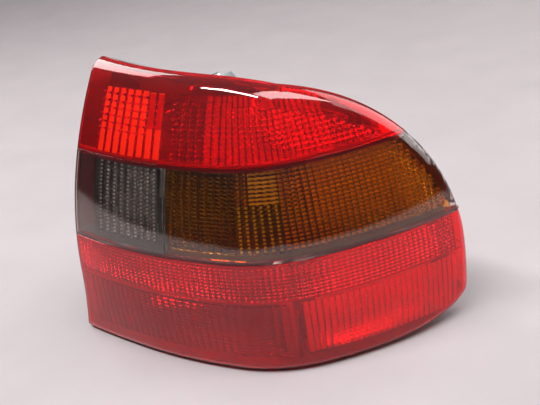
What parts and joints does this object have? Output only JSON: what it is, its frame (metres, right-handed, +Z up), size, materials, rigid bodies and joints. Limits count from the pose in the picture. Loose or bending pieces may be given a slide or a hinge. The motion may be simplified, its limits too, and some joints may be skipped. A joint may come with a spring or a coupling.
{
  "type": "tail light cluster",
  "caption": "Right-hand wrap-round tail light cluster with red, smoked and red lens bands, reflectors, bulbs, bulb holder and mounting studs.",
  "frame": {"origin": "centre of the mounting studs' pattern, on the plane of the outer faces of the stud seals, which meet the car body", "axes": "+Z up, -Y to the rear of the car where the lens faces, +X outboard to the right side of the car, +Y forwards along the studs"},
  "size_m": [0.2441, 0.2028, 0.2175],
  "materials": {
    "red_lens": "clear red acrylic, moulded gloss",
    "smoked_lens": "smoked acrylic, moulded gloss",
    "amber_lens": "amber acrylic with pillow optics",
    "clear_lens": "clear acrylic with pillow optics",
    "housing_plastic": "fine moulded grain",
    "reflector": "vacuum metallised",
    "bulb_cap": "drawn brass",
    "bulb_glass": "blown clear glass",
    "filament": "drawn tungsten wire",
    "holder_plastic": "moulded polyamide",
    "seal_rubber": "matt foam rubber",
    "contact_brass": "stamped strip",
    "stud_steel": "zinc plated"
  },
  "bodies": {
    "root": {"lens_upper_red": "red_lens", "lens_smoked_band": "smoked_lens", "lens_lower_red": "red_lens", "amber_filter": "amber_lens", "reversing_optic": "clear_lens", "housing": "housing_plastic", "stop_reflector": "reflector", "tail_reflector": "reflector", "reversing_reflector": "reflector", "indicator_reflector": "reflector", "fog_reflector": "reflector", "side_tail_reflector": "reflector", "upper_side_mirror": "reflector", "middle_side_mirror": "reflector", "lower_side_mirror": "reflector", "stop_bulb_cap": "bulb_cap", "stop_bulb_glass": "bulb_glass", "tail_bulb_cap": "bulb_cap", "tail_bulb_glass": "bulb_glass", "reversing_bulb_cap": "bulb_cap", "reversing_bulb_glass": "bulb_glass", "indicator_bulb_cap": "bulb_cap", "indicator_bulb_glass": "bulb_glass", "fog_bulb_cap": "bulb_cap", "fog_bulb_glass": "bulb_glass", "side_tail_bulb_cap": "bulb_cap", "side_tail_bulb_glass": "bulb_glass", "bulb_filaments": "filament", "bulb_holder": "holder_plastic", "holder_gasket": "seal_rubber", "contact_strips": "contact_brass", "connector_pins": "contact_brass", "mounting_studs": "stud_steel", "stud_seals": "seal_rubber", "breather_cap": "seal_rubber"}
  },
  "joints": []
}
